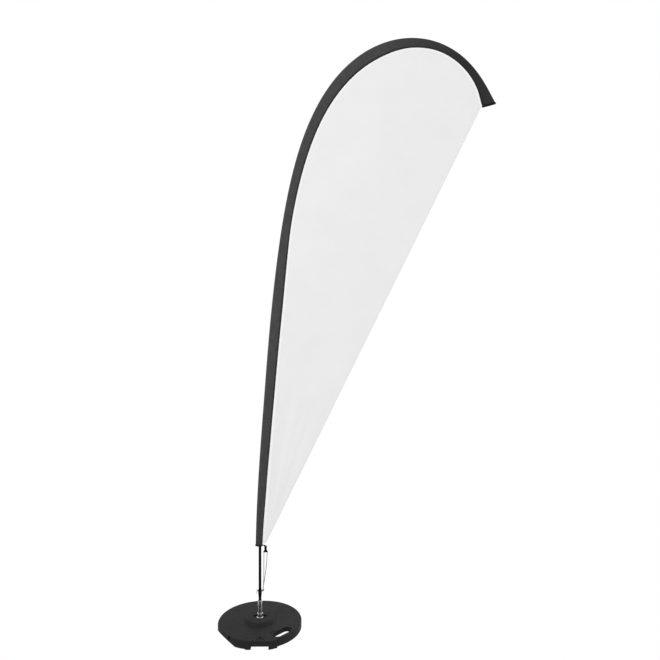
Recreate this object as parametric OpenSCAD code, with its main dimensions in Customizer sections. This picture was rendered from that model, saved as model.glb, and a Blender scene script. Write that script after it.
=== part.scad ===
// Teardrop flag: a curved mast in a dark sleeve with a white cloth, standing
// in a chrome rotor that turns on two ball bearings above a fillable round base.
// Millimetres, +Z up. The origin is the centre of the base's underside, on the
// spindle axis, and the flag spreads towards +X in the plane y = 0.

/* [Base] */
// Diameter of the tank
base_d = 460; // [420:5:520]
// Height of the tank at its rim
base_h = 43; // [40:1:60]
// Wall thickness of the tank
wall = 3.5; // [2.5:0.5:5]
// Height of the raised hub above the rim
hub_h = 17; // [15:1:19]
// Diameter of the raised hub
hub_d = 172; // [164:2:176]
// Length of the carrying slot
grip_l = 120; // [110:2:124]
// Width of the carrying slot
grip_w = 52; // [48:1:54]
// Direction of the carrying slot about the spindle
grip_dir = -44; // [-46:1:-42]
// Diameter of the filler cap
cap_d = 40; // [36:1:42]

/* [Rotor] */
// Outer diameter of the chrome rotor tube
rotor_d = 24; // [23:0.5:28]
// Height of the rotor tube's mouth above the floor
rotor_top = 151; // [148:1:156]
// Diameter of the spindle where it passes through the base
spindle_d = 16; // [12:1:18]
// Number of balls in each bearing
balls = 8; // [6:1:9]

/* [Mast] */
// Diameter of the straight foot of the mast
foot_d = 15; // [14:0.5:16]
// Diameter of the mast at its tip
tip_d = 5.5; // [4:0.5:7]
// Length of the curved mast, measured from where it starts to lean
mast_l = 4020; // [3900:10:4100]
// Lean that the mast gathers evenly from foot to tip, in degrees
lean = 13.7; // [11:0.1:15]
// Turn that the mast gathers mostly at its crown, in degrees
crown_turn = 138.6; // [130:0.2:150]

/* [Flag] */
// Height of the sleeve's bottom hem above the floor
hem_z = 456; // [430:2:480]
// Thickness of the cloth plate
cloth_t = 0.5; // [0.4:0.1:1]
// Thickness of the sleeve's wall
sleeve_t = 0.8; // [0.6:0.1:1.2]
// Diameter of the elastic
elastic_d = 3; // [2:0.5:3]

/* [Hidden] */
$fn = 96;

// Tank
base_r = base_d / 2;
rim_round = 7;
foot_round = 3;
hub_top = base_h + hub_h;
hub_r = hub_d / 2;
hub_slope = 14;
hub_well_r = 27;
hub_well_h = 4;
column_r = 40;
nut_well_r = 32;
nut_well_h = 24;
grip_r = 187;
fill_r = 196;
fill_dir = -83.4;
neck_r = cap_d / 2 + 4;
neck_bore_r = 14.2;
neck_h = 22;
cap_well_h = 6;
finger_h = 18;
finger_r = 160;
dish_r = 170;
dish_along = -44;
edge_notch_dir = -128;
front_y = -229.5;
front_low_x = -50;
front_high_x = 115;
front_gap_x = 25;
front_gap_w = 92;
front_gap_h = 17;
front_gap_in = 40;
bevel_dir = -145;
bevel_r = 203;

// Filler cap
seal_t = 2;
play = 0.1;
flange_z = base_h - cap_well_h + seal_t + 2 * play;

// Spindle and bearings
nut_z = hub_top - hub_well_h;
nut_h = 22;
nut_top = nut_z + 3 + nut_h;
journal_r = 4;
ring_w = 6;
inner_ring_r = 6;
outer_ring_r = 8.5;
rotor_bore_r = rotor_d / 2 - 1.5;
ball_path_r = (inner_ring_r + outer_ring_r) / 2;
groove_r = 1.6;
ball_r = 1.3;
lower_ring_z = nut_top + 5;
upper_ring_z = lower_ring_z + 26;
shaft_top = upper_ring_z + ring_w + 4;
seat_z = shaft_top + 3;
seat_deep = 8;
foot_z = seat_z + 5;
stub_r = 5;
plug_top = 197;
plug_taper_z = 155;
bush_z = seat_z + 5 + seat_deep + 1;
bush_top = plug_top - 2;

// Mast: heading is the angle from the vertical towards +X at arc length s
mast_z = 188;
crown_from = 200;
crown_power = 3.64;
arc_step = 26;
arc_count = ceil(mast_l / arc_step) + 4;
foot_join = 500;
join_s = foot_join - mast_z;
section_l = (mast_l - join_s) / 4;
first_d = 14;
function soft(u) = u * u * (3 - 2 * u);
function clamp(u) = max(0, min(1, u));
function heading(s) = lean * s / 4000
    + crown_turn * soft(clamp(pow(max(0, s - crown_from) / (4000 - crown_from), crown_power)));
arc = [for (i = 0, x = 0, z = mast_z; i <= arc_count;
        x = x + arc_step * sin(heading((i + 0.5) * arc_step)),
        z = z + arc_step * cos(heading((i + 0.5) * arc_step)),
        i = i + 1) [x, 0, z]];
function arc_at(s) = let (i = min(floor(s / arc_step), arc_count - 1), f = s / arc_step - i)
    arc[i] * (1 - f) + arc[i + 1] * f;
// The curved mast leaves the straight foot on the foot's own axis
function mast_at(s) = arc_at(s) - [arc_at(join_s)[0], 0, 0];
function inward(s) = [cos(heading(s)), 0, -sin(heading(s))];
function mast_d(s) = first_d + (tip_d - first_d) * clamp((s - join_s) / (mast_l - join_s));

// Sleeve: its width along the mast, as shares of its length and millimetres
hem_s = hem_z - mast_z;
tip_s = mast_l + 11;
tip_skew = 11;
width_at = [[0, 38], [0.07, 47], [0.145, 53.4], [0.34, 61.5], [0.41, 58], [0.48, 51], [0.6, 57],
    [0.77, 70], [0.85, 53], [0.89, 45], [0.94, 45], [0.97, 54], [1, 76]];
function knot(i) = width_at[max(0, min(len(width_at) - 1, i))];
function curve(a, b, c, d, t) = b + t * ((c - a) / 2
    + t * ((a - 2.5 * b + 2 * c - d / 2) + t * (1.5 * (b - c) + (d - a) / 2)));
function sleeve_share(s) = clamp((s - hem_s) / (tip_s - hem_s));
function sleeve_w(s) = let (u = sleeve_share(s),
        i = min(len(width_at) - 2, max([for (k = [0:len(width_at) - 1]) width_at[k][0] <= u ? k : 0])),
        t = (u - knot(i)[0]) / (knot(i + 1)[0] - knot(i)[0]))
    curve(knot(i - 1)[1], knot(i)[1], knot(i + 1)[1], knot(i + 2)[1], t);
function across(s) = let (h = heading(s) + tip_skew * soft(clamp((sleeve_share(s) - 0.93) / 0.07)))
    [cos(h), 0, -sin(h)];
function outer_off(s) = mast_d(s) / 2 + 3.1 + 13.2 * (1 - soft(clamp((s - hem_s) / 950)));
function inner_off(s) = sleeve_w(s) - outer_off(s);
function half_t(s) = mast_d(s) / 2 + 3.1;
function tape_w(s) = 9 + 7 * (1 - soft(sleeve_share(s)));
function edge_at(s, more) = mast_at(s) + across(s) * (inner_off(s) + more);

// Cloth: its straight free edge runs between these two corners, and its curved
// edge follows the sleeve's own stations
corner_low = [30, 0, hem_z + 6];
corner_top = [1228, 0, 2888];
sleeve_count = 84;
tape_start = hem_s + 10;
tape_end = tip_s - 9.5;
tape_s = concat([tape_start], [for (i = [1:sleeve_count - 1])
    let (s = hem_s + (tip_s - hem_s) * i / sleeve_count)
        if (s > tape_start + 5 && s < tape_end - 5) s], [tape_end]);
leech_w = 10;
leech_dir = (corner_top - corner_low) / norm(corner_top - corner_low);
leech_in = [-leech_dir[2], 0, leech_dir[0]];
function from_leech(p) = (p - corner_low) * leech_in;
tape_edge = [for (s = concat([hem_s - 20], tape_s)) edge_at(s, tape_w(s) + 0.1)];
// Where the tape's free edge first stands the distance d inside the cloth's free edge
function crossing(d) = [for (i = [0:len(tape_edge) - 2])
    let (a = tape_edge[i], b = tape_edge[i + 1], u = from_leech(a), v = from_leech(b))
    if (u < d && v >= d) a + (b - a) * (d - u) / (v - u)][0];
// Where it comes back to that distance at the cloth's top corner
function leaving(d) = [for (i = [0:len(tape_edge) - 2])
    let (a = tape_edge[i], b = tape_edge[i + 1], u = from_leech(a), v = from_leech(b))
    if (u >= d && v < d) a + (b - a) * (u - d) / (u - v)][0];

// Elastic: hand-laid route from one corner of the clip, under the hook and back
clip_x = 31;
clip_low = 417;
clip_h = 26;
hook_z = 203;
elastic_route = [[40, 0, 421], [40.2, 0, 412], [35.8, -2.6, 345], [28, -3.8, 285], [23.4, -4.2, 255],
    [18.6, -4.6, 225], [15.7, -4.9, 205], [15.2, -4.2, 201.6], [15, -2.5, 199.8], [15, 0, 199.2],
    [15, 2.5, 199.8], [15.2, 4.2, 201.6], [15.7, 4.9, 205], [18.2, 4.6, 225], [20.6, 4.2, 262],
    [21.1, 3.8, 310], [21.3, 2.4, 366], [22, 0, 412], [22, 0, 421]];

// ---------------------------------------------------------------- helpers

module ring(r_out, r_in, h) {
    rotate_extrude() translate([r_in, 0]) square([r_out - r_in, h]);
}

module at_dir(dir, r) {
    rotate([0, 0, dir]) translate([r, 0, 0]) children();
}

module at_fill(z) {
    at_dir(fill_dir, fill_r) translate([0, 0, z]) children();
}

module hex(af, h) {
    cylinder(h = h, r = af / 2 / cos(30), $fn = 6);
}

// A stadium outline, grown by g all round
module stadium(l, w, g) {
    square([w + 2 * g, l - w], center = true);
    for (side = [-1, 1]) translate([0, side * (l - w) / 2]) circle(r = w / 2 + g);
}

// A tube swept through rings of points: outer loop first, inner loop second
module swept(rings, n, hollow) {
    m = len(rings);
    step = hollow ? 2 * n : n;
    side = [for (i = [0:m - 2], k = [0:n - 1]) let (a = i * step + k, b = i * step + (k + 1) % n)
        each [[a, b, b + step], [a, b + step, a + step]]];
    bore = !hollow ? [] : [for (i = [0:m - 2], k = [0:n - 1])
        let (a = i * step + n + k, b = i * step + n + (k + 1) % n)
        each [[b, a, a + step], [b, a + step, b + step]]];
    last = (m - 1) * step;
    ends = !hollow
        ? [[for (k = [n - 1:-1:0]) k], [for (k = [0:n - 1]) last + k]]
        : [for (k = [0:n - 1]) let (a = k, b = (k + 1) % n)
            each [[b, a, a + n], [b, a + n, b + n],
                [last + a, last + b, last + b + n], [last + a, last + b + n, last + a + n]]];
    polyhedron(points = [for (loop = rings) each loop], faces = concat(side, bore, ends), convexity = 6);
}

// Points of a round loop about the mast at arc length s
function round_loop(s, r, n) = [for (k = [0:n - 1]) let (a = 360 * k / n)
    mast_at(s) + inward(s) * r * cos(a) + [0, r * sin(a), 0]];

// Points of the sleeve's loop at arc length s: an ellipse outside the mast and
// a taper down to the seam inside it. g grows it, and cut shortens the taper.
function sleeve_loop(s, g, cut, n) = [for (k = [0:n - 1]) let (a = 360 * k / n, c = cos(a), d = sin(a),
        reach = c < 0 ? outer_off(s) + g : inner_off(s) - cut,
        y = (half_t(s) + g) * d * (c > 0 ? pow(abs(d), 0.6) : 1))
    mast_at(s) + across(s) * reach * c + [0, y, 0]];

module mast_piece(s0, s1, d0, d1, bore, n = 14, count = 18) {
    rings = [for (i = [0:count]) let (u = i / count, s = s0 + (s1 - s0) * u, d = d0 + (d1 - d0) * u)
        bore > 0 ? concat(round_loop(s, d / 2, n), round_loop(s, d / 2 - bore, n)) : round_loop(s, d / 2, n)];
    swept(rings, n, bore > 0);
}

// A hollow band of the sleeve's shape; out and in are the [growth, cut] of its two faces
module sleeve_band(s0, s1, out, in, count, n = 20) {
    rings = [for (i = [0:count]) let (s = s0 + (s1 - s0) * i / count)
        concat(sleeve_loop(s, out[0], out[1], n), sleeve_loop(s, in[0], in[1], n))];
    swept(rings, n, true);
}

// A flat plate in the plane y = 0 from points with x and z
module plate(points, t) {
    translate([0, t / 2, 0]) rotate([90, 0, 0]) linear_extrude(t) polygon([for (p = points) [p[0], p[2]]]);
}

// ---------------------------------------------------------------- base

module rim_profile(g) {
    r = base_r - g;
    top = base_h - g;
    low_r = r - foot_round;
    translate([0, g]) square([low_r, top - g - 1]);
    translate([0, g + foot_round]) square([r, top - g - foot_round - rim_round]);
    translate([0, top - 2 * rim_round]) square([r - rim_round, 2 * rim_round]);
    translate([low_r, g + foot_round]) circle(r = foot_round, $fn = 32);
    translate([r - rim_round, top - rim_round]) circle(r = rim_round, $fn = 48);
}

module hub_profile(g) {
    r = hub_r - g;
    top = hub_top - g;
    low = base_h - 10;
    polygon([[0, low], [r, low], [r, base_h - g], [r - hub_slope + 2, top - 2], [r - hub_slope, top], [0, top]]);
}

// Straight block across the front of the rim, which the finger gap runs through
module front_block(g) {
    intersection() {
        cylinder(h = base_h, r = base_r + 10 - g, $fn = 160);
        for (step = [0, 1]) translate([front_low_x + g + 2 * step, front_y + g + 2 * step, g])
            cube([front_high_x - front_low_x - 2 * g - 4 * step, 60, base_h - 2 * g - 2 + 2 * step]);
    }
}

// Cuts that shape the tank; g is the wall left around each inside the tank
module grip_cut(g) {
    at_dir(grip_dir, grip_r) translate([0, 0, -1]) linear_extrude(hub_top + 2) stadium(grip_l, grip_w, g);
    at_dir(grip_dir, dish_r) translate([0, dish_along, base_h + 62 - g]) sphere(r = 70);
}

// Room under the carrying slot for the fingers of a closed hand
module finger_cut(g) {
    at_dir(grip_dir, finger_r) translate([0, 0, -1]) linear_extrude(finger_h + 1 + g)
        stadium(grip_l + 40, grip_w + 50, g);
}

module front_cut(g) {
    translate([front_gap_x - front_gap_w / 2 - g, -base_r - 10, -1])
        cube([front_gap_w + 2 * g, front_gap_in + 10 + g, front_gap_h + 1 + g]);
}

// Two notches through the rim, one in its top edge, and a bevel under it to lift the base by
module rim_cuts(g) {
    for (dir = [8, 174]) at_dir(dir, base_r - g)
        translate([0, 0, -1]) linear_extrude(base_h + 2) square([16, 12 + 2 * g], center = true);
    at_dir(edge_notch_dir, base_r) translate([-10 - g, -6 - g, base_h - 15 - g]) cube([30 + g, 12 + 2 * g, 20 + g]);
    at_dir(bevel_dir, bevel_r - g * sqrt(2)) rotate([0, 45, 0]) translate([0, -base_r, -base_r])
        cube([base_r, 2 * base_r, 2 * base_r]);
}

module hub_pockets(g) {
    for (side = [-1, 1]) {
        for (end = [-1, 1]) translate([side * 44, end * 45, hub_top - 5 - g]) cylinder(h = 20, r = 3.5 + g);
        translate([0, 0, nut_z - 3]) linear_extrude(40)
            polygon([[side * 18, -12], [side * 18, 28], [side * 40, 12], [side * 40, 4]]);
    }
}

module base_tank() {
    color("#353637") difference() {
        union() {
            rotate_extrude($fn = 160) {
                rim_profile(0);
                hub_profile(0);
            }
            front_block(0);
        }
        grip_cut(0);
        finger_cut(0);
        front_cut(0);
        rim_cuts(0);
        hub_pockets(0);
        // The hollow inside: the same outline less the wall
        difference() {
            union() {
                rotate_extrude($fn = 160) {
                    rim_profile(wall);
                    hub_profile(wall);
                }
                front_block(wall);
            }
            grip_cut(wall);
            finger_cut(wall);
            front_cut(wall);
            rim_cuts(wall);
            hub_pockets(wall);
            cylinder(h = 100, r = column_r + wall);
            at_fill(base_h - neck_h) cylinder(h = neck_h + 1, r = neck_r);
        }
        translate([0, 0, -1]) cylinder(h = hub_top + 2, r = spindle_d / 2 + 0.1);
        translate([0, 0, -1]) cylinder(h = nut_well_h + 1, r = nut_well_r);
        translate([0, 0, nut_z]) cylinder(h = 40, r = hub_well_r);
        at_fill(base_h - neck_h - 1) cylinder(h = neck_h + 2, r = neck_bore_r);
        at_fill(base_h - cap_well_h) cylinder(h = cap_well_h + 1, r = cap_d / 2 + 0.8);
    }
}

module cap_seal() {
    color("#161616") at_fill(base_h - cap_well_h + play) ring(cap_d / 2 - 1, 14, seal_t);
}

module fill_cap() {
    top = base_h + 1.5;
    color("#2f3031") at_fill(0) {
        difference() {
            union() {
                translate([0, 0, flange_z]) cylinder(h = top - flange_z, r = cap_d / 2);
                translate([0, 0, base_h - neck_h + 6]) cylinder(h = neck_h - 6 - cap_well_h + seal_t + 1, r = 13.2);
                for (turn = [0:2]) translate([0, 0, base_h - neck_h + 8 + 4 * turn]) ring(13.8, 13, 1.4);
            }
            translate([0, 0, base_h - 10]) cylinder(h = 20, r = 8);
            for (k = [0:23]) rotate([0, 0, 15 * k]) translate([cap_d / 2 + 0.6, 0, flange_z - 1])
                cylinder(h = 20, r = 1.4, $fn = 24);
        }
        translate([0, 0, base_h - 11]) linear_extrude(9) square([16.4, 3], center = true);
    }
}

// ---------------------------------------------------------------- spindle

module spindle_shaft() {
    color("silver") rotate_extrude() polygon([[0, 5], [spindle_d / 2 - 1.5, 5], [spindle_d / 2, 6.5],
        [spindle_d / 2, nut_top + 1], [spindle_d / 2 - 1.5, nut_top + 2.5], [5.5, nut_top + 2.5],
        [5.5, lower_ring_z], [journal_r, lower_ring_z], [journal_r, upper_ring_z + ring_w],
        [journal_r - 0.5, upper_ring_z + ring_w], [journal_r - 0.5, upper_ring_z + ring_w + 1.3],
        [journal_r, upper_ring_z + ring_w + 1.3], [journal_r, shaft_top - 0.7],
        [journal_r - 0.7, shaft_top], [0, shaft_top]]);
}

module under_washer() {
    color("silver") translate([0, 0, nut_well_h - 3]) ring(26, spindle_d / 2 + 0.5, 3);
}

module under_nut() {
    color("silver") translate([0, 0, nut_well_h - 3 - 13]) difference() {
        hex(24, 13);
        translate([0, 0, -1]) cylinder(h = 15, r = spindle_d / 2);
    }
}

module hub_washer() {
    color("silver") translate([0, 0, nut_z]) ring(18, spindle_d / 2 + 0.3, 3);
}

module hub_nut() {
    color("silver") translate([0, 0, nut_z + 3]) difference() {
        intersection() {
            hex(29, nut_h);
            rotate_extrude() polygon([[0, 0], [15.4, 0], [16.9, 1.5], [16.9, nut_h - 2.5], [14.4, nut_h], [0, nut_h]]);
        }
        translate([0, 0, -1]) cylinder(h = nut_h + 2, r = spindle_d / 2);
    }
}

module race(r_in, r_out, z) {
    translate([0, 0, z]) rotate_extrude() difference() {
        translate([r_in, 0]) square([r_out - r_in, ring_w]);
        translate([ball_path_r, ring_w / 2]) circle(r = groove_r, $fn = 48);
    }
}

module lower_inner_ring() { color("#b9bcc0") race(journal_r, inner_ring_r, lower_ring_z); }
module upper_inner_ring() { color("#b9bcc0") race(journal_r, inner_ring_r, upper_ring_z); }
module lower_outer_ring() { color("#b9bcc0") race(outer_ring_r, rotor_bore_r, lower_ring_z); }
module upper_outer_ring() { color("#b9bcc0") race(outer_ring_r, rotor_bore_r, upper_ring_z); }

module ball_set(z) {
    color("silver") for (k = [0:balls - 1]) rotate([0, 0, 360 * k / balls])
        translate([ball_path_r, 0, z + ring_w / 2]) sphere(r = ball_r, $fn = 32);
}

module lower_balls() { ball_set(lower_ring_z); }
module upper_balls() { ball_set(upper_ring_z); }

module inner_spacer() {
    color("silver") translate([0, 0, lower_ring_z + ring_w])
        ring(5.5, journal_r, upper_ring_z - lower_ring_z - ring_w);
}

module retaining_ring() {
    color("#3c3d3f") translate([0, 0, upper_ring_z + ring_w]) difference() {
        ring(5.8, journal_r - 0.5, 1.2);
        translate([0, -1.5, -1]) cube([10, 3, 4]);
    }
}

// ---------------------------------------------------------------- rotor

module rotor_tube() {
    color("#c9ccd0") translate([0, 0, nut_top + 1]) difference() {
        rotate_extrude() polygon([[8.9, 0], [rotor_d / 2 - 1, 0], [rotor_d / 2, 1],
            [rotor_d / 2, rotor_top - nut_top - 2], [rotor_d / 2 - 1, rotor_top - nut_top - 1],
            [rotor_bore_r, rotor_top - nut_top - 1], [rotor_bore_r, 4], [8.9, 4]]);
    }
}

module seat_cup() {
    color("#262728") translate([0, 0, seat_z]) difference() {
        cylinder(h = 5 + seat_deep, r = rotor_bore_r);
        translate([0, 0, 5]) cylinder(h = seat_deep + 1, r = stub_r + 0.08);
        translate([0, 0, -1]) cylinder(h = 4, r = 3);
    }
}

// Boot in the rotor's mouth, tapered like the mast's plug that it holds
module mouth_bush() {
    bore = 0.08;
    head = foot_d / 2 + 2.5;
    color("#1c1c1d") rotate_extrude() polygon([[stub_r + bore, bush_z], [rotor_bore_r, bush_z],
        [rotor_bore_r, rotor_top], [stub_r + 1.6, rotor_top], [stub_r + 1.6, rotor_top + 2],
        [head, bush_top - 6], [head, bush_top - 1], [head - 1, bush_top], [foot_d / 2 + bore, bush_top],
        [stub_r + bore, plug_taper_z]]);
}

// ---------------------------------------------------------------- mast

module pole_foot() {
    color("#141414") translate([0, 0, plug_top]) ring(foot_d / 2, foot_d / 2 - 1.5, foot_join - plug_top);
}

// Tapered plug under the mast's tube, with a spigot up inside it
module foot_plug() {
    spigot_r = foot_d / 2 - 1.5;
    color("#1c1c1d") rotate_extrude() polygon([[0, foot_z], [stub_r - 1, foot_z], [stub_r, foot_z + 1],
        [stub_r, plug_taper_z], [foot_d / 2, bush_top], [foot_d / 2, plug_top], [spigot_r, plug_top],
        [spigot_r, plug_top + 18], [0, plug_top + 18]]);
}

module pole_section(k) {
    s0 = join_s + section_l * k + 1;
    s1 = join_s + section_l * (k + 1) - 1;
    color("#181818") mast_piece(s0, s1, mast_d(s0), mast_d(s1) + 0.6, k < 2 ? 1.6 : 0);
}

module pole_section_1() { pole_section(0); }
module pole_section_2() { pole_section(1); }
module pole_section_3() { pole_section(2); }
module pole_section_4() { pole_section(3); }

// A short metal tube over the joint at arc length s
module ferrule(s, d, l) {
    color("#8e9194") translate(mast_at(s)) rotate([0, heading(s), 0]) translate([0, 0, -l / 2])
        ring(d / 2 + 1.3, d / 2 + 0.5, l);
}

module ferrule_1() { ferrule(join_s, foot_d, 36); }
module ferrule_2() { ferrule(join_s + section_l, mast_d(join_s + section_l) + 0.6, 36); }
module ferrule_3() { ferrule(join_s + 2 * section_l, mast_d(join_s + 2 * section_l) + 0.6, 36); }
module ferrule_4() { ferrule(join_s + 3 * section_l, mast_d(join_s + 3 * section_l) + 0.6, 26); }

module tip_cap() {
    color("#1c1c1d") translate(mast_at(mast_l)) rotate([0, heading(mast_l), 0]) {
        translate([0, 0, -14]) ring(tip_d / 2 + 1.5, tip_d / 2 + 0.45, 14);
        cylinder(h = 2, r = tip_d / 2 + 1.5);
        translate([0, 0, 2]) intersection() {
            sphere(r = tip_d / 2 + 1.5, $fn = 48);
            cylinder(h = 8, r = 8);
        }
    }
}

// Collar with two upturned hooks for the elastic
module hook(reach, bend, rise) {
    wire = 2;
    rotate([0, 90, 0]) translate([0, 0, 8.4]) cylinder(h = reach - bend - 8.4, r = wire, $fn = 32);
    translate([reach - bend, 0, bend]) rotate([90, 0, 0]) rotate([0, 0, -90])
        rotate_extrude(angle = 90) translate([bend, 0]) circle(r = wire, $fn = 32);
    translate([reach, 0, bend]) cylinder(h = rise, r = wire, $fn = 32);
    translate([reach, 0, bend + rise]) sphere(r = wire, $fn = 32);
}

module hook_collar() {
    color("#1c1c1d") {
        difference() {
            union() {
                translate([0, 0, hook_z - 6]) cylinder(h = 12, r = foot_d / 2 + 3);
                translate([0, 0, hook_z]) hook(20.5, 4, 2.5);
                translate([0, 0, hook_z]) mirror([1, 0, 0]) hook(16, 3, 1);
            }
            translate([0, 0, hook_z - 10]) cylinder(h = 30, r = foot_d / 2 + 0.05);
        }
    }
}

// Crimped free end of the elastic, held under the left hook
module elastic_end() {
    color("#b9bbbd") translate([-15.2, 0, hook_z - 3.6]) rotate([0, 205, 0]) cylinder(h = 13, r = 1.5, $fn = 32);
}

// ---------------------------------------------------------------- flag

module sleeve() {
    color("#464646") sleeve_band(hem_s, tip_s, [0, 0], [-sleeve_t, 3.5], sleeve_count);
}

module sleeve_hem() {
    color("#151515") sleeve_band(hem_s - 4, hem_s + 4, [1.5, -2.2], [0.4, -0.8], 2);
}

module tip_hem() {
    color("#202020") sleeve_band(tip_s - 7, tip_s + 2, [1.6, -2.3], [0.6, -1], 2);
}

module seam_tape() {
    inside = [for (s = tape_s) edge_at(s, 0.3)];
    outside = [for (k = [len(tape_s) - 1:-1:0]) edge_at(tape_s[k], tape_w(tape_s[k]))];
    color("#f4f4f4") plate(concat(inside, outside), cloth_t + 0.5);
}

module flag_cloth() {
    edge = [for (p = tape_edge) if (from_leech(p) > leech_w) p];
    color("#efefef") plate(concat([crossing(leech_w)], edge, [leaving(leech_w)]), cloth_t);
}

module leech_hem() {
    last = tape_edge[len(tape_edge) - 1];
    top = last - leech_in * from_leech(last) - leech_dir;
    color("#f1f1f1") plate([crossing(0), top, top + leech_in * (leech_w - 0.2), crossing(leech_w - 0.2)],
        cloth_t + 0.4);
}

// Strap from the sleeve's hem to the clip, looped over the clip's top bar
module webbing_tab() {
    bar_z = clip_low + clip_h + 0.2;
    start = inner_off(hem_s) + 3.2;
    color("#131313") plate([[start, 0, hem_z + 3], [27, 0, hem_z], [clip_x + 7, 0, hem_z - 4],
        [clip_x + 7, 0, bar_z], [clip_x - 6.5, 0, bar_z], [clip_x - 7, 0, hem_z - 7.5], [start, 0, hem_z - 4]], 2.4);
}

module tension_clip() {
    color("#171717") difference() {
        translate([clip_x, 2.5, clip_low]) rotate([90, 0, 0]) linear_extrude(5)
            polygon([[-12, 0], [12, 0], [12, 4], [5.5, 14], [6.5, 20], [6.5, clip_h], [-6.5, clip_h], [-6.5, 20],
                [-5.5, 14], [-12, 4]]);
        for (side = [-1, 1]) translate([clip_x + side * 9, 0, clip_low - 1]) cylinder(h = 6, r = 1.6, $fn = 32);
    }
}

module elastic_loop() {
    n = 8;
    m = len(elastic_route);
    flow = [for (i = [0:m - 1])
        let (v = elastic_route[min(i + 1, m - 1)] - elastic_route[max(i - 1, 0)]) v / norm(v)];
    rings = [for (i = [0:m - 1]) let (side = cross(flow[i], [1, 0, 0]), u = side / norm(side), w = cross(flow[i], u))
        [for (k = [0:n - 1]) elastic_route[i] + (u * cos(360 * k / n) + w * sin(360 * k / n)) * elastic_d / 2]];
    color("#c4c6c8") swept(rings, n, false);
}

// ---------------------------------------------------------------- assembly

base_tank();
spindle_shaft();
under_washer();
under_nut();
hub_washer();
hub_nut();
lower_inner_ring();
upper_inner_ring();
inner_spacer();
retaining_ring();
cap_seal();
fill_cap();
lower_balls();
upper_balls();
rotor_tube();
lower_outer_ring();
upper_outer_ring();
seat_cup();
mouth_bush();
pole_foot();
foot_plug();
pole_section_1();
pole_section_2();
pole_section_3();
pole_section_4();
ferrule_1();
ferrule_2();
ferrule_3();
ferrule_4();
tip_cap();
hook_collar();
elastic_end();
sleeve();
sleeve_hem();
tip_hem();
seam_tape();
flag_cloth();
leech_hem();
webbing_tab();
tension_clip();
elastic_loop();
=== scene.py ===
"""Teardrop flag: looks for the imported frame. Metres, +Z up, in the CAD's own frame."""
import math

import bmesh
import bpy
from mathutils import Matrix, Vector, noise


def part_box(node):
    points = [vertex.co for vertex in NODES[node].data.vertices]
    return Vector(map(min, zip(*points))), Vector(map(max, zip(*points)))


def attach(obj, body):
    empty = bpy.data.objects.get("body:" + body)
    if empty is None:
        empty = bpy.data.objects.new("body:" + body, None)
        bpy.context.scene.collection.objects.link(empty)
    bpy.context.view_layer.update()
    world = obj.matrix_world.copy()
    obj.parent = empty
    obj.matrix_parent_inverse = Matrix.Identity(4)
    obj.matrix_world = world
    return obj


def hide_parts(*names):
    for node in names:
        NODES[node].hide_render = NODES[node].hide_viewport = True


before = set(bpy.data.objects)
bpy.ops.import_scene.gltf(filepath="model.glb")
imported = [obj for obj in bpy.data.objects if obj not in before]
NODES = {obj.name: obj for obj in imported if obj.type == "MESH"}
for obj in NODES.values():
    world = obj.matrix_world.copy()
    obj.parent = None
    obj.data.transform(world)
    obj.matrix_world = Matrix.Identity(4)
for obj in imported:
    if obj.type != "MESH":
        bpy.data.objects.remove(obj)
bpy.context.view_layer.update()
MM = 0.001


def span(node):
    """A node's lowest and highest corners as vectors."""
    low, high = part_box(node)
    return Vector(low), Vector(high)


# ------------------------------------------------------------------ camera

EYE_HEIGHT = 1.650
EYE_DISTANCE = 3.229
EYE_ASIDE = 0.3886
LENS = 31.73


def make_camera():
    data = bpy.data.cameras.new("view")
    data.sensor_width = 36
    data.lens = LENS
    camera = bpy.data.objects.new("view", data)
    camera.location = (EYE_ASIDE, -EYE_DISTANCE, EYE_HEIGHT)
    camera.rotation_euler = (math.radians(90), 0, 0)
    bpy.context.collection.objects.link(camera)
    bpy.context.scene.camera = camera


make_camera()

# ------------------------------------------------------------------ mast line
# The same law as the CAD's: heading is the angle from the vertical towards +X.

LEAN, CROWN_TURN, CROWN_FROM, CROWN_POWER = 13.7, 138.6, 0.2, 3.64
MAST_FOOT = 0.188
MAST_LENGTH = 4.02
ARC_STEP = 0.005
HEM = 0.456 - MAST_FOOT
TIP = MAST_LENGTH + 0.011
TIP_SKEW = 11
FOOT_JOIN = 0.500 - MAST_FOOT
FIRST_D, TIP_D = 0.014, 0.0055
# Room round the mast in its sleeve, and the slack behind it that dies away up the mast
SLEEVE_ROOM = 0.0031
LOW_SLACK, SLACK_LENGTH = 0.0132, 0.95
# Stations of the sleeve: share of its length, and flat width in millimetres
WIDTH_AT = [(0, 38), (0.07, 47), (0.145, 53.4), (0.34, 61.5), (0.41, 58), (0.48, 51), (0.6, 57),
            (0.77, 70), (0.85, 53), (0.89, 45), (0.94, 45), (0.97, 54), (1, 76)]


def clamp(u, low=0.0, high=1.0):
    return max(low, min(high, u))


def soft(u):
    u = clamp(u)
    return u * u * (3 - 2 * u)


def heading(s):
    bend = soft(clamp((s - CROWN_FROM) / (4 - CROWN_FROM)) ** CROWN_POWER)
    return math.radians(LEAN * s / 4 + CROWN_TURN * bend)


def walk_mast():
    points = [Vector((0, 0, MAST_FOOT))]
    while len(points) * ARC_STEP < MAST_LENGTH + 0.1:
        turn = heading((len(points) - 0.5) * ARC_STEP)
        points.append(points[-1] + ARC_STEP * Vector((math.sin(turn), 0, math.cos(turn))))
    aside = points[round(FOOT_JOIN / ARC_STEP)].x
    return [p - Vector((aside, 0, 0)) for p in points]


MAST = walk_mast()


def mast_at(s):
    whole = clamp(int(s / ARC_STEP), 0, len(MAST) - 2)
    return MAST[whole].lerp(MAST[whole + 1], s / ARC_STEP - whole)


def share(s):
    return clamp((s - HEM) / (TIP - HEM))


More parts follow.
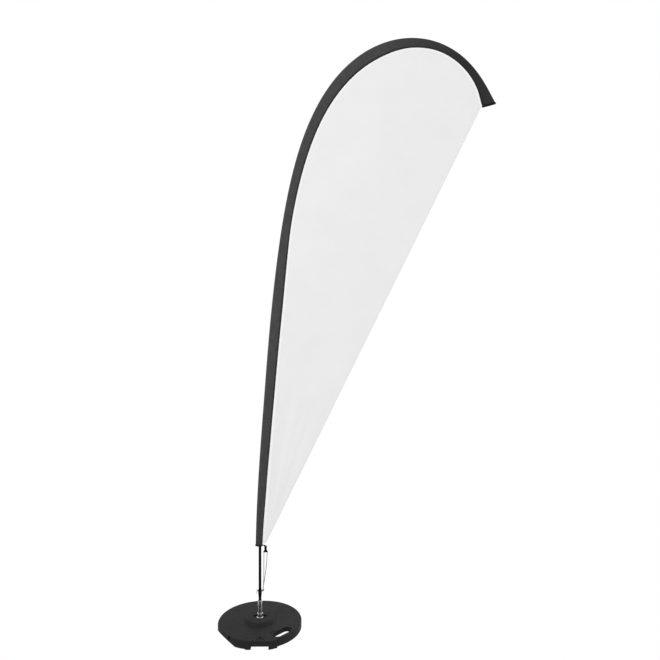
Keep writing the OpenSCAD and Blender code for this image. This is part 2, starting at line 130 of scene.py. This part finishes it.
def across(s):
    """Unit vector from the mast towards the cloth."""
    turn = heading(s) + math.radians(TIP_SKEW) * soft((share(s) - 0.93) / 0.07)
    return Vector((math.cos(turn), 0, -math.sin(turn)))


def mast_d(s):
    return FIRST_D + (TIP_D - FIRST_D) * clamp((s - FOOT_JOIN) / (MAST_LENGTH - FOOT_JOIN))


def sleeve_width(s):
    """Flat width of the sleeve, through its stations as one smooth curve."""
    u = share(s)
    last = len(WIDTH_AT) - 1
    i = min(last - 1, max(k for k in range(last + 1) if WIDTH_AT[k][0] <= u))
    a, b, c, d = (WIDTH_AT[clamp(k, 0, last)][1] for k in (i - 1, i, i + 1, i + 2))
    t = (u - WIDTH_AT[i][0]) / (WIDTH_AT[i + 1][0] - WIDTH_AT[i][0])
    mid = a - 2.5 * b + 2 * c - d / 2
    return MM * (b + t * ((c - a) / 2 + t * (mid + t * (1.5 * (b - c) + (d - a) / 2))))


def outer_off(s):
    return mast_d(s) / 2 + SLEEVE_ROOM + LOW_SLACK * (1 - soft((s - HEM) / SLACK_LENGTH))


def inner_off(s):
    return sleeve_width(s) - outer_off(s)


def half_thick(s):
    return mast_d(s) / 2 + SLEEVE_ROOM


def tape_width(s):
    return MM * (9 + 7 * (1 - soft(share(s))))


def edge_at(s, more=0.0):
    return mast_at(s) + across(s) * (inner_off(s) + more)


# ------------------------------------------------------------------ mesh help

def mesh_object(name, verts, faces, smooth=True):
    mesh = bpy.data.meshes.new(name)
    mesh.from_pydata([tuple(v) for v in verts], [], faces)
    mesh.update()
    for polygon in mesh.polygons:
        polygon.use_smooth = smooth
    made = bpy.data.objects.new(name, mesh)
    bpy.context.collection.objects.link(made)
    return made


def grid_faces(rows, columns, closed=False):
    """Quads between rows of points; closed joins the last column to the first."""
    faces = []
    last = columns if closed else columns - 1
    for r in range(rows - 1):
        for c in range(last):
            n = (c + 1) % columns
            faces.append((r * columns + c, r * columns + n, (r + 1) * columns + n, (r + 1) * columns + c))
    return faces


def tube(name, line, radius, sides):
    """A round tube along a line of points, closed at both ends."""
    verts = []
    side = None
    for i, p in enumerate(line):
        flow = (line[min(i + 1, len(line) - 1)] - line[max(i - 1, 0)]).normalized()
        if side is None:
            side = flow.orthogonal().normalized()
        side = (side - flow * side.dot(flow)).normalized()
        other = flow.cross(side)
        for k in range(sides):
            a = 2 * math.pi * k / sides
            verts.append(p + (side * math.cos(a) + other * math.sin(a)) * radius)
    faces = grid_faces(len(line), sides, closed=True)
    faces.append(tuple(range(sides))[::-1])
    faces.append(tuple((len(line) - 1) * sides + k for k in range(sides)))
    return mesh_object(name, verts, faces)


def spline(points, steps):
    """A Catmull-Rom curve through points."""
    line = []
    for i in range(len(points) - 1):
        a, b = points[max(i - 1, 0)], points[i]
        c, d = points[i + 1], points[min(i + 2, len(points) - 1)]
        for k in range(steps):
            t = k / steps
            line.append(0.5 * (2 * b + t * (c - a + t * (2 * a - 5 * b + 4 * c - d
                                                         + t * (3 * b - a - 3 * c + d)))))
    line.append(points[-1].copy())
    return line


# ------------------------------------------------------------------ materials

def material(name):
    made = bpy.data.materials.new(name)
    made.use_nodes = True
    tree = made.node_tree
    return made, tree, tree.nodes["Principled BSDF"]


def link(tree, a, b):
    tree.links.new(a, b)


def add(tree, kind, **values):
    made = tree.nodes.new(kind)
    for key, value in values.items():
        setattr(made, key, value)
    return made


def set_input(node, **values):
    for key, value in values.items():
        node.inputs[key.replace("_", " ")].default_value = value


def object_noise(tree, scale, detail=2.0, rough=0.5, stretch=None):
    place = add(tree, "ShaderNodeTexCoord")
    fine = add(tree, "ShaderNodeTexNoise")
    set_input(fine, Scale=scale, Detail=detail, Roughness=rough)
    if stretch:
        mapping = add(tree, "ShaderNodeMapping")
        mapping.inputs["Scale"].default_value = stretch
        link(tree, place.outputs["Object"], mapping.inputs["Vector"])
        link(tree, mapping.outputs["Vector"], fine.inputs["Vector"])
    else:
        link(tree, place.outputs["Object"], fine.inputs["Vector"])
    return fine.outputs["Fac"]


def tone(tree, factor, low, high, colour_a, colour_b):
    ramp = add(tree, "ShaderNodeValToRGB")
    ramp.color_ramp.elements[0].position = low
    ramp.color_ramp.elements[1].position = high
    ramp.color_ramp.elements[0].color = (*colour_a, 1)
    ramp.color_ramp.elements[1].color = (*colour_b, 1)
    link(tree, factor, ramp.inputs["Fac"])
    return ramp.outputs["Color"]


def span_value(tree, factor, low, high):
    ranged = add(tree, "ShaderNodeMapRange")
    set_input(ranged, To_Min=low, To_Max=high)
    link(tree, factor, ranged.inputs["Value"])
    return ranged.outputs["Result"]


def bump(tree, shader, height, distance, strength=1.0):
    made = add(tree, "ShaderNodeBump")
    set_input(made, Strength=strength, Distance=distance)
    link(tree, height, made.inputs["Height"])
    link(tree, made.outputs["Normal"], shader.inputs["Normal"])


def weave_height(tree, pitch):
    """Crossing threads from two wave bands on the mesh's own UV lengths (in metres)."""
    place = add(tree, "ShaderNodeUVMap", uv_map="lengths")
    bands = []
    for direction in ("X", "Y"):
        band = add(tree, "ShaderNodeTexWave", wave_type="BANDS", bands_direction=direction)
        set_input(band, Scale=math.pi / 10 / pitch, Distortion=0.4, Detail=1)
        band.inputs["Detail Scale"].default_value = 2
        link(tree, place.outputs["UV"], band.inputs["Vector"])
        bands.append(band.outputs["Fac"])
    both = add(tree, "ShaderNodeMath", operation="MULTIPLY")
    link(tree, bands[0], both.inputs[0])
    link(tree, bands[1], both.inputs[1])
    return both.outputs["Value"]


def blend_math(tree, a, b, weight):
    """a plus weight times b."""
    made = add(tree, "ShaderNodeMath", operation="MULTIPLY_ADD")
    made.inputs[1].default_value = weight
    link(tree, b, made.inputs[0])
    link(tree, a, made.inputs[2])
    return made.outputs["Value"]


def moulded_plastic(name, colour, scale=900, rough=(0.5, 0.68), gloss=0.12):
    made, tree, shader = material(name)
    shader.inputs["Specular IOR Level"].default_value = gloss
    patch = object_noise(tree, 9, 4)
    light = tuple(c * 1.14 for c in colour)
    dark = tuple(c * 0.88 for c in colour)
    link(tree, tone(tree, patch, 0.3, 0.7, dark, light), shader.inputs["Base Color"])
    grain = object_noise(tree, scale, 3, 0.6)
    link(tree, span_value(tree, object_noise(tree, 40, 3), *rough), shader.inputs["Roughness"])
    bump(tree, shader, grain, 0.0004, 0.35)
    return made


def polished_metal(name, colour, rough):
    made, tree, shader = material(name)
    shader.inputs["Base Color"].default_value = (*colour, 1)
    shader.inputs["Metallic"].default_value = 1
    smear = object_noise(tree, 60, 3, 0.6, (1, 1, 0.15))
    link(tree, span_value(tree, smear, *rough), shader.inputs["Roughness"])
    bump(tree, shader, object_noise(tree, 300, 2), 0.0001, 0.08)
    return made


def fibreglass(name):
    made, tree, shader = material(name)
    streak = object_noise(tree, 420, 2, 0.5, (1, 1, 0.03))
    link(tree, tone(tree, streak, 0.35, 0.7, (0.0030, 0.0030, 0.0032), (0.006, 0.006, 0.0063)),
         shader.inputs["Base Color"])
    shader.inputs["Specular IOR Level"].default_value = 0.04
    link(tree, span_value(tree, streak, 0.55, 0.65), shader.inputs["Roughness"])
    bump(tree, shader, streak, 0.0001, 0.1)
    return made


def along_uv(tree, axis, layer):
    place = add(tree, "ShaderNodeUVMap", uv_map=layer)
    split = add(tree, "ShaderNodeSeparateXYZ")
    link(tree, place.outputs["UV"], split.inputs["Vector"])
    return split.outputs[axis]


def times(tree, colour, factor):
    """A colour scaled by a grey ramp's colour."""
    made = add(tree, "ShaderNodeMix", data_type="RGBA", blend_type="MULTIPLY")
    made.inputs["Factor"].default_value = 1
    link(tree, colour, made.inputs[6])
    link(tree, factor, made.inputs[7])
    return made.outputs[2]


def grey_stops(tree, factor, stops):
    """A ramp through (place, grey) stops."""
    ramp = add(tree, "ShaderNodeValToRGB")
    points = ramp.color_ramp.elements
    while len(points) < len(stops):
        points.new(0.5)
    for point, (where, grey) in zip(points, stops):
        point.position = where
        point.color = (grey, grey, grey, 1)
    link(tree, factor, ramp.inputs["Fac"])
    return ramp.outputs["Color"]


def woven(name, dark, light, pitch, rough=0.85, sheen=0.2, depth=0.0003, slub=30.0, stops=(), relief=0.5):
    """Cloth with crossing threads. stops are (layer, axis, greys) tones laid over it."""
    made, tree, shader = material(name)
    threads = weave_height(tree, pitch)
    cloud = object_noise(tree, slub, 4, 0.6)
    mixed = blend_math(tree, cloud, threads, 0.5)
    colour = tone(tree, mixed, 0.35, 1.0, dark, light)
    for layer, axis, greys in stops:
        colour = times(tree, colour, grey_stops(tree, along_uv(tree, axis, layer), greys))
    link(tree, colour, shader.inputs["Base Color"])
    shader.inputs["Specular IOR Level"].default_value = 0.2
    shader.inputs["Roughness"].default_value = rough
    shader.inputs["Sheen Weight"].default_value = sheen
    shader.inputs["Sheen Roughness"].default_value = 0.5
    bump(tree, shader, threads, depth, relief)
    return made


def rubber_cord(name, dark, light):
    made, tree, shader = material(name)
    place = add(tree, "ShaderNodeTexCoord")
    braid = add(tree, "ShaderNodeTexWave", wave_type="BANDS", bands_direction="DIAGONAL")
    set_input(braid, Scale=220, Distortion=1.5, Detail=1)
    link(tree, place.outputs["Object"], braid.inputs["Vector"])
    link(tree, tone(tree, braid.outputs["Fac"], 0.2, 0.8, dark, light), shader.inputs["Base Color"])
    shader.inputs["Roughness"].default_value = 0.7
    bump(tree, shader, braid.outputs["Fac"], 0.0004, 0.5)
    return made


# Greys laid over the sleeve. Across its loop (Y) it is darker at both long edges. On the side that wraps
# round the mast this is painted shade where the cloth turns away; on the cloth side it is a dark stitch line.
# Along its length (X) it is darker at the foot and much darker near the tip.
SLEEVE_TONES_AND_PAINTED_SHADE = (
    ("place", "Y", [(0.0, 0.35), (0.07, 0.45), (0.11, 1.0), (0.88, 1.0), (0.93, 0.45), (1.0, 0.35)]),
    ("place", "X", [(0.0, 0.62), (0.08, 0.80), (0.3, 1.0), (0.78, 0.92), (0.87, 0.54), (0.93, 0.30),
                    (1.0, 0.38)]),
)
TANK = moulded_plastic("tank_hdpe", (0.018, 0.018, 0.0183))
CAP = moulded_plastic("cap_hdpe", (0.015, 0.015, 0.0153))
BLACK = moulded_plastic("black_nylon", (0.005, 0.005, 0.0052), 700, (0.4, 0.5), 0.15)
SEAL = moulded_plastic("seal_rubber", (0.006, 0.006, 0.006), 500, (0.7, 0.85))
CHROME = polished_metal("chrome", (0.82, 0.83, 0.84), (0.30, 0.40))
STEEL = polished_metal("steel", (0.50, 0.51, 0.52), (0.22, 0.38))
ALUMINIUM = polished_metal("aluminium", (0.55, 0.56, 0.57), (0.3, 0.42))
GLASSFIBRE = fibreglass("fibreglass")
SLEEVE = woven("sleeve_polyester", (0.048, 0.048, 0.048), (0.074, 0.074, 0.074), 0.0011, stops=SLEEVE_TONES_AND_PAINTED_SHADE)
BLACK_CLOTH = woven("black_binding", (0.003, 0.003, 0.003), (0.008, 0.008, 0.008), 0.0012, sheen=0.05)
WHITE_KNIT = woven("white_knit", (0.828, 0.828, 0.828), (0.868, 0.868, 0.868), 0.0009, 0.8, 0.1, 0.0001,
                   6.0, relief=0.12)
WHITE_HEM = woven("white_hem", (0.81, 0.81, 0.81), (0.85, 0.85, 0.85), 0.0009, 0.8, 0.1, 0.0001, relief=0.2)
WHITE_TAPE = woven("white_tape", (0.90, 0.90, 0.90), (0.96, 0.96, 0.96), 0.0012, 0.75, 0.1, relief=0.3)
ELASTIC = rubber_cord("elastic_braid", (0.006, 0.006, 0.0062), (0.016, 0.016, 0.0165))
CUT_END = rubber_cord("elastic_cut_end", (0.42, 0.42, 0.43), (0.50, 0.50, 0.51))

NODE_MATERIAL = {
    TANK: ["base_tank"],
    CAP: ["fill_cap"],
    SEAL: ["cap_seal"],
    CHROME: ["hub_washer", "hub_nut", "rotor_tube"],
    STEEL: ["spindle_shaft", "under_washer", "under_nut", "lower_inner_ring", "upper_inner_ring",
            "inner_spacer", "retaining_ring", "lower_balls", "upper_balls", "lower_outer_ring",
            "upper_outer_ring"],
    BLACK: ["seat_cup", "mouth_bush", "foot_plug", "tip_cap", "hook_collar", "tension_clip"],
    GLASSFIBRE: ["pole_foot", "pole_section_1", "pole_section_2", "pole_section_3", "pole_section_4"],
    ALUMINIUM: ["ferrule_1", "ferrule_2", "ferrule_3", "ferrule_4"],
    CUT_END: ["elastic_end"],
}


def set_material(thing, made):
    thing.data.materials.clear()
    thing.data.materials.append(made)


def dress_nodes():
    for made, names in NODE_MATERIAL.items():
        for name in names:
            node = NODES[name]
            node.data.materials.clear()
            node.data.materials.append(made)


dress_nodes()

# ------------------------------------------------------------------ elastic

ROUTE = [(40, 0, 421), (40.2, 0, 412), (35.8, -2.6, 345), (28, -3.8, 285), (23.4, -4.2, 255),
         (18.6, -4.6, 225), (15.7, -4.9, 205), (15.2, -4.2, 201.6), (15, -2.5, 199.8), (15, 0, 199.2),
         (15, 2.5, 199.8), (15.2, 4.2, 201.6), (15.7, 4.9, 205), (18.2, 4.6, 225), (20.6, 4.2, 262),
         (21.1, 3.8, 310), (21.3, 2.4, 366), (22, 0, 412), (22, 0, 421)]
ELASTIC_D = 0.003


def make_elastic():
    line = spline([Vector(p) * MM for p in ROUTE], 8)
    cord = tube("elastic", line, ELASTIC_D / 2, 12)
    set_material(cord, ELASTIC)
    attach(cord, "mast")
    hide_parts("elastic_loop")


make_elastic()

# ------------------------------------------------------------------ cloth parts

def lay_sheet(name, rows, made_of, closed=False, place=None):
    """A sheet through rows of points, with its own lengths in metres as its UVs. place gives
    each point's second UV, for tones that follow the sheet's edges."""
    columns = len(rows[0])
    verts = [p for row in rows for p in row]
    thing = mesh_object(name, verts, grid_faces(len(rows), columns, closed))
    lengths, run = [], 0.0
    for r, row in enumerate(rows):
        if r:
            run += (row[columns // 4] - rows[r - 1][columns // 4]).length
        wide = 0.0
        for c, p in enumerate(row):
            if c:
                wide += (p - row[c - 1]).length
            lengths.append((run, wide))
    add_uv(thing, "lengths", lengths)
    if place:
        add_uv(thing, "place", place)
    set_material(thing, made_of)
    return thing


def add_uv(thing, name, uv):
    layer = thing.data.uv_layers.new(name=name)
    for loop in thing.data.loops:
        layer.data[loop.index].uv = uv[loop.vertex_index]


def thicken(thing, amount, offset=0.0):
    made = thing.modifiers.new("thickness", "SOLIDIFY")
    made.thickness = amount
    made.offset = offset


def on_mast(thing, slot, *stands_for):
    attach(thing, "mast")
    if stands_for:
        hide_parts(*stands_for)
    return thing


# Sleeve

SLEEVE_ROWS = 620
SLEEVE_SIDES = 56
SLEEVE_T = 0.0007


def ripple(s, side):
    """Small lengthwise unevenness of the sleeve, in metres."""
    point = Vector((s * 7, side * 1.7, 3.1))
    return 0.0008 * noise.noise(point) + 0.0004 * noise.noise(point * 3.3)


def sleeve_point(s, k, grow=0.0, reach_in=0.0):
    a = 2 * math.pi * k / SLEEVE_SIDES
    c, d = math.cos(a), math.sin(a)
    reach = outer_off(s) + grow if c < 0 else inner_off(s) + reach_in
    lift = abs(d) ** 0.6 if c > 0 else 1.0
    uneven = ripple(s, math.copysign(1, d)) * abs(d)
    y = (half_thick(s) + grow + uneven) * d * lift
    return mast_at(s) + across(s) * reach * c + Vector((0, y, 0))


def make_sleeve():
    rows = [[sleeve_point(HEM + (TIP - HEM) * r / SLEEVE_ROWS, k, -SLEEVE_T / 2) for k in range(SLEEVE_SIDES)]
            for r in range(SLEEVE_ROWS + 1)]
    place = [(r / SLEEVE_ROWS, 0.5 + 0.5 * math.cos(2 * math.pi * k / SLEEVE_SIDES))
             for r in range(SLEEVE_ROWS + 1) for k in range(SLEEVE_SIDES)]
    made = lay_sheet("sleeve_cloth", rows, SLEEVE, closed=True, place=place)
    thicken(made, SLEEVE_T)
    on_mast(made, "sleeve_fabric", "sleeve")
    hems = [make_band("bottom_hem", HEM - 0.004, HEM + 0.004, "sleeve_hem"),
            make_band("end_hem", TIP - 0.007, TIP + 0.002, "tip_hem")]


def make_band(name, s0, s1, stands_for):
    """A folded hem round the sleeve, with rolled edges."""
    rows = []
    for share_along, swell in ((0, 0.2), (0.12, 0.8), (0.3, 1.0), (0.6, 0.9), (0.85, 0.8), (1, 0.2)):
        s = s0 + (s1 - s0) * share_along
        rows.append([sleeve_point(s, k, 0.0011 * swell, 0.0012 * swell) for k in range(SLEEVE_SIDES)])
    made = lay_sheet(name, rows, BLACK_CLOTH, closed=True)
    thicken(made, 0.0011, 1.0)
    return on_mast(made, "black_webbing", stands_for)


# Cloth panel

CORNER_LOW = Vector((0.030, 0, 0.462))
CORNER_TOP = Vector((1.228, 0, 2.888))
LEECH = (CORNER_TOP - CORNER_LOW).normalized()
LEECH_IN = Vector((-LEECH.z, 0, LEECH.x))
TAPE_START = HEM + 0.010
TAPE_END = TIP - 0.0095
CLOTH_T = 0.0004
HEM_W = 0.010
HEM_LIFT = 0.00045
TAPE_LIFT = 0.0011
TAPE_ROWS = 540
SEAM_LAP = 0.0012
CLOTH_ROWS, CLOTH_COLUMNS = 420, 110


def tape_s(u):
    return TAPE_START + (TAPE_END - TAPE_START) * u


def tape_edge(s):
    return edge_at(s, tape_width(s))


def from_leech(p):
    return (p - CORNER_LOW).dot(LEECH_IN)


def first_inside():
    """Where along the mast the tape first stands clear of the cloth's free edge."""
    low, high = TAPE_START - 0.03, TAPE_START + 1.0
    for _ in range(40):
        middle = (low + high) / 2
        low, high = (middle, high) if from_leech(tape_edge(middle)) < 0 else (low, middle)
    return high


CLOTH_START = first_inside()


def drawn_folds(p):
    """Folds that fan out from the clip's corner, and die away up the cloth."""
    away = p - CORNER_LOW
    r = away.length
    turn = math.degrees(math.atan2(away.dot(LEECH_IN), away.dot(LEECH)))
    strength = soft((r - 0.05) / 0.25) * (1 - soft((r - 0.3) / 1.1))
    fan = noise.noise(Vector((turn * 0.15, r * 0.9, 7.7)))
    fan += 0.25 * noise.noise(Vector((turn * 0.4, r * 1.6, 2.2)))
    return 0.0055 * strength * fan


def slow_billow(p):
    at = Vector((p.x * 1.9, p.z * 1.3, 4.4))
    return 0.006 * noise.noise(at) + 0.002 * noise.noise(at * 2.7)


def seam_puckers(s, gap):
    """Short ripples square to the tape, where its stitching gathers the cloth."""
    return 0.0009 * noise.noise(Vector((s * 26, 0.3, 9.1))) * math.exp(-gap / 0.05) * soft(gap / 0.012)


def cloth_rows():
    rows = []
    top = from_leech_along(tape_edge(TAPE_END))
    for r in range(CLOTH_ROWS + 1):
        u = (r / CLOTH_ROWS) ** 1.25
        s = CLOTH_START + (TAPE_END - CLOTH_START) * u
        inner = tape_edge(s) - across(s) * 0.003
        leech = CORNER_LOW + LEECH * (from_leech_along(tape_edge(CLOTH_START)) * (1 - u) + top * u)
        row = []
        for c in range(CLOTH_COLUMNS + 1):
            v = c / CLOTH_COLUMNS
            p = inner.lerp(leech, v)
            gap, room = (p - inner).length, max(from_leech(p), 0)
            hold = soft(gap / 0.06) * soft(0.25 + room / 0.12)
            lift = hold * (drawn_folds(p) + slow_billow(p) * soft(gap / 0.4) * soft(room / 0.35))
            row.append(p + Vector((0, lift + seam_puckers(s, gap), 0)))
        rows.append(row)
    return rows


def from_leech_along(p):
    return (p - CORNER_LOW).dot(LEECH)


def make_panel():
    rows = cloth_rows()
    panel = lay_sheet("cloth_panel", rows, WHITE_KNIT)
    thicken(panel, CLOTH_T)
    on_mast(panel, "white_fabric", "flag_cloth")
    with_it = [make_leech_hem(rows), make_tape()]


def make_leech_hem(rows):
    """The cloth's free edge folded over on both faces, rolled at its outer edge."""
    profile = [(1.0, 0.05), (0.98, 0.8), (0.6, 1.0), (0.25, 1.0), (0.06, 0.9), (-0.03, 0.0),
               (0.06, -0.9), (0.25, -1.0), (0.6, -1.0), (0.98, -0.8), (1.0, -0.05)]
    strip = []
    for row in rows[4::2]:
        edge, before = row[-1], row[-2]
        level = (edge.y * 0.7 + before.y * 0.3)
        fits = min(1.0, max((row[0] - edge).dot(LEECH_IN), 0.0005) / HEM_W)
        base = Vector((edge.x, level, edge.z))
        strip.append([base + LEECH_IN * (HEM_W * fits * w) + Vector((0, HEM_LIFT * side, 0))
                      for w, side in profile])
    made = lay_sheet("free_edge_hem", strip, WHITE_HEM)
    return on_mast(made, "white_fabric", "leech_hem")


def make_tape():
    """White seam tape over the join of sleeve and cloth, crowned over the folded edges."""
    profile = [(0.0, 0.3), (0.06, 0.85), (0.3, 1.0), (0.7, 0.95), (0.95, 0.75), (1.0, 0.2)]
    ring = profile + [(w, -side) for w, side in profile[::-1]]
    rows = []
    for r in range(TAPE_ROWS + 1):
        s = tape_s(r / TAPE_ROWS)
        inner = edge_at(s, -SEAM_LAP)
        wide = tape_width(s) + SEAM_LAP
        rows.append([inner + across(s) * (wide * w) + Vector((0, TAPE_LIFT * side, 0)) for w, side in ring])
    made = lay_sheet("join_tape", rows, WHITE_TAPE, closed=True)
    return on_mast(made, "white_tape", "seam_tape")


# Strap to the clip

def make_strap():
    """Webbing from the sleeve's hem, over the clip's top bar, as one outline with rolled edges."""
    low, high = span("webbing_tab")
    clip_low, clip_high = span("tension_clip")
    middle = (clip_low.x + clip_high.x) / 2
    hem_z = high.z - 0.003
    outline = [(low.x, high.z), (low.x + 0.4 * (middle - low.x), hem_z + 0.0022), (middle, hem_z - 0.0012),
               (high.x - 0.001, hem_z - 0.0036), (high.x, hem_z - 0.005), (high.x, low.z),
               (middle - 0.0065, low.z), (middle - 0.0068, hem_z - 0.0078),
               (low.x + 0.3 * (middle - low.x), hem_z - 0.0058), (low.x, hem_z - 0.004)]
    thick = (high.y - low.y) / 2
    count = len(outline)
    verts = [Vector((x, side * thick, z)) for side in (-1, 1) for x, z in outline]
    faces = [tuple(range(count)), tuple(range(2 * count - 1, count - 1, -1))]
    faces += [(k, k + count, (k + 1) % count + count, (k + 1) % count) for k in range(count)]
    made = mesh_object("clip_strap", verts, faces, False)
    bmesh_fix(made)
    add_uv(made, "lengths", [(v.x, v.z) for v in verts])
    rounded = made.modifiers.new("rolled_edges", "BEVEL")
    rounded.width = 0.0006
    rounded.segments = 3
    set_material(made, BLACK_CLOTH)
    return on_mast(made, "black_webbing", "webbing_tab")


def bmesh_fix(thing):
    shape = bmesh.new()
    shape.from_mesh(thing.data)
    bmesh.ops.recalc_face_normals(shape, faces=shape.faces)
    shape.to_mesh(thing.data)
    shape.free()


make_sleeve()
make_panel()
make_strap()

# ------------------------------------------------------------------ studio

def glowing(name, colour, strength):
    made, _, shader = material(name)
    shader.inputs["Base Color"].default_value = (0, 0, 0, 1)
    shader.inputs["Specular IOR Level"].default_value = 0
    shader.inputs["Emission Color"].default_value = (*colour, 1)
    shader.inputs["Emission Strength"].default_value = strength
    return made


def stage_sheet(name, corners, made_of, camera, glossy):
    """A flat backdrop that lights nothing: the world and the lights do that."""
    thing = mesh_object(name, corners, [(0, 1, 2, 3)], False)
    set_material(thing, made_of)
    thing.visible_camera = camera
    thing.visible_glossy = glossy
    thing.visible_diffuse = False
    thing.visible_shadow = False


def make_light(name, place, size, power):
    data = bpy.data.lights.new(name, "AREA")
    data.size = size
    data.energy = power
    lamp = bpy.data.objects.new(name, data)
    lamp.location = place
    lamp.rotation_euler = (Vector((0.5, 0, 1.5)) - Vector(place)).to_track_quat("-Z", "Y").to_euler()
    bpy.context.collection.objects.link(lamp)


def make_studio():
    white = glowing("paper_white", (1, 1, 1), 1.0)
    far, tall = 14, 12
    corners = [(-far, -far), (far, -far), (far, far), (-far, far)]
    stage_sheet("floor", [(x, y, 0) for x, y in corners], white, True, False)
    for k in range(4):
        a, b = corners[k], corners[(k + 1) % 4]
        stage_sheet(f"backdrop_{k + 1}", [(*a, 0), (*b, 0), (*b, tall), (*a, tall)], white, True, False)
    stage_sheet("ceiling", [(x, y, tall) for x, y in corners], white, True, False)
    # The shade sheet behind the camera shows only in reflections. It is a painted dark reflection in the
    # chrome and other glossy parts, and it lights and shadows nothing.
    shade = glowing("shade_grey", (0.03, 0.03, 0.03), 1.0)
    stage_sheet("shade", [(-8.6, -6, -5), (9.4, -6, -5), (9.4, -6, 4.5), (-8.6, -6, 4.5)], shade, False, True)
    world = bpy.data.worlds.new("studio")
    bpy.context.scene.world = world
    world.use_nodes = True
    world.node_tree.nodes["Background"].inputs["Color"].default_value = (1, 1, 1, 1)
    world.node_tree.nodes["Background"].inputs["Strength"].default_value = 0.84
    make_light("key", (-4.2, -4.0, 5.2), 2.6, 125)
    make_light("rim", (4.5, 3.5, 4.0), 2.6, 90)
    bpy.context.scene.view_settings.view_transform = "Standard"


make_studio()
